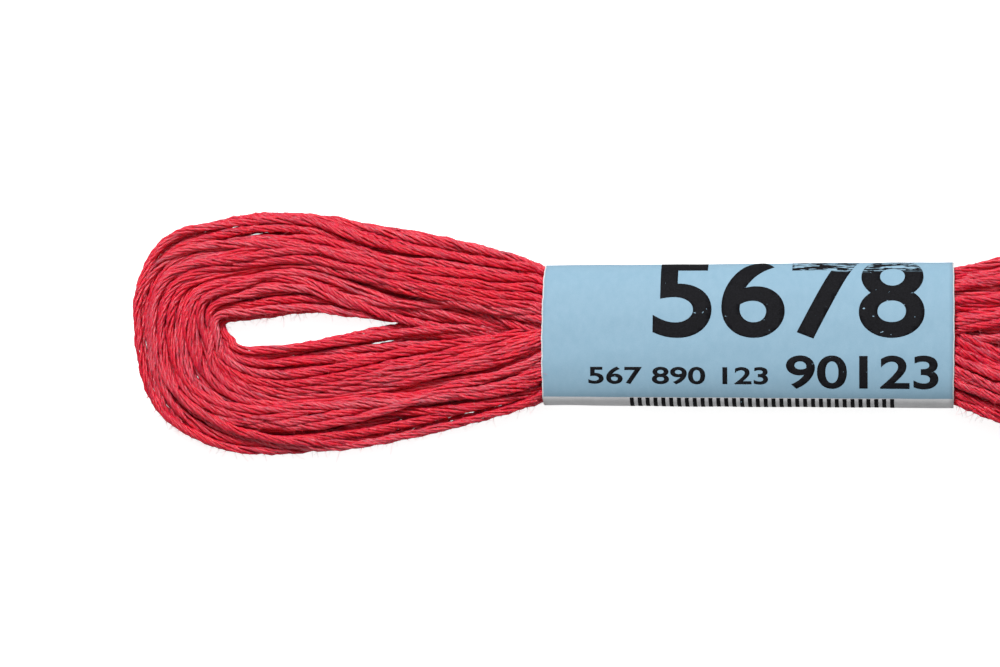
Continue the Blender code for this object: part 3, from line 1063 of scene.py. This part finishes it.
def paper_material():
    """Coated paper: a light blue field, bare white at the cut ends, the lap and the inside."""
    look = Look("band_paper_printed", PAPER_FINISH)
    sheet = look.attribute("sheet")["Vector"]
    parts = look.parts(sheet)
    grain = look.noise(sheet, PAPER_GRAIN)
    mottle = look.math("MULTIPLY", look.noise(sheet, MOTTLE), MOTTLE_SHARE)
    tint = look.math("MULTIPLY_ADD", grain, 1 - MOTTLE_SHARE, mottle)
    blue = look.ramp(tint, *zip(PAPER_STOPS, (BLUE_DEEP, BLUE_PALE)))
    white = look.ramp(tint, *zip(PAPER_STOPS, (WHITE_DULL, WHITE_CLEAN)))
    inset = look.math("MULTIPLY_ADD", grain, CUT_RAGGED, parts["Z"])
    along = look.math("MULTIPLY_ADD", grain, BLUE_RAGGED, parts["Y"])
    printed = look.smooth_step(inset, *CUT_FADE)
    for low, high in ((BLUE_FROM, BLUE_FROM + BLUE_FADE), (BLUE_TO + BLUE_FADE, BLUE_TO)):
        printed = look.math("MULTIPLY", printed, look.smooth_step(along, low, high))
    look.show(look.mix(printed, white, blue), grain, PAPER_BUMP)
    return look.material


def ink_material():
    """Black ink, worn through to the paper in fine specks and in streaks along its top edge."""
    look = Look("band_ink", INK_FINISH)
    sheet = look.attribute("sheet")["Vector"]
    parts = look.parts(sheet)
    worn = look.smooth_step(look.noise(sheet, SPECKS), *SPECK_EDGE)
    scuffed = look.smooth_step(look.noise(sheet, STREAKS), *STREAK_EDGE)
    for part, edge in ((parts["Z"], SCUFF_UP), (parts["X"], SCUFF_X)):
        scuffed = look.math("MULTIPLY", scuffed, look.smooth_step(part, *edge))
    ink = look.ramp(look.noise(sheet, INK_GRAIN), *zip(INK_STOPS, (INK_DARK, INK_PALE)))
    look.show(look.mix(look.math("MAXIMUM", worn, scuffed), ink, BLUE_PALE))
    return look.material


def make_stage():
    floor = bpy.data.meshes.new("floor")
    corners = [(u * FLOOR_HALF, v * FLOOR_HALF, 0) for u, v in ((-1, -1), (1, -1), (1, 1), (-1, 1))]
    floor.from_pydata(corners, [], [(0, 1, 2, 3)])
    look = Look("floor_white", FLOOR_FINISH)
    rays = look.nodes.new("ShaderNodeLightPath")
    glow = look.math("MULTIPLY", rays.outputs["Is Camera Ray"], FLOOR_GLOW)
    look.links.new(glow, look.shader.inputs["Emission Strength"])
    floor.materials.append(look.material)
    add_object("floor", floor)


def make_lights():
    world = bpy.data.worlds.new("studio")
    bpy.context.scene.world = world
    world.use_nodes = True
    world.node_tree.nodes["Background"].inputs["Color"].default_value = (1, 1, 1, 1)
    world.node_tree.nodes["Background"].inputs["Strength"].default_value = WORLD_LIGHT
    for name, place, size, power in LAMPS:
        lamp = bpy.data.lights.new(name, "AREA")
        lamp.shape = "DISK"
        lamp.size = size
        lamp.energy = power
        obj = add_object(name, lamp)
        obj.location = place
        obj.rotation_euler = (-Vector(place)).to_track_quat("-Z", "Y").to_euler()


def make_camera():
    lens = bpy.data.cameras.new("camera")
    lens.sensor_width = SENSOR
    lens.lens = LENS
    lens.clip_start, lens.clip_end = CLIP
    camera = add_object("camera", lens)
    back = Vector((tan(radians(CAMERA_TO_RIGHT)), -tan(radians(CAMERA_TO_FRONT)), 1)).normalized()
    across = (Vector((1, 0, 0)) - back * back.x).normalized()
    up = back.cross(across)
    turn = Matrix((across, up, back)).transposed().to_4x4()
    target = Vector(CAMERA_TARGET) * MM
    camera.matrix_world = Matrix.Translation(target + back * CAMERA_DISTANCE * MM) @ turn
    bpy.context.scene.camera = camera


def place_pieces(pieces, finish, node):
    for piece in pieces:
        piece.data.materials.append(finish)
        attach(piece, "root")
        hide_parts(node)


def main():
    bpy.context.scene.view_settings.view_transform = "Standard"
    make_camera()
    make_lights()
    make_stage()
    rng = np.random.default_rng(SEED)
    hank = Hank()
    turns = relax(wound_turns(hank, rng), hank)
    let_stray(turns, hank)
    thread = ThreadLine(hank, turns, rng)
    pieces = make_turns(thread, rng)
    place_pieces(pieces, floss_material(), "floss_hank")
    place_pieces([make_fuzz(thread, rng)], fuzz_material(), "floss_hank")
    sleeve = Sleeve()
    band = make_band(sleeve)
    place_pieces([band], paper_material(), "paper_band")
    place_pieces(make_print(sleeve), ink_material(), "paper_band")


main()
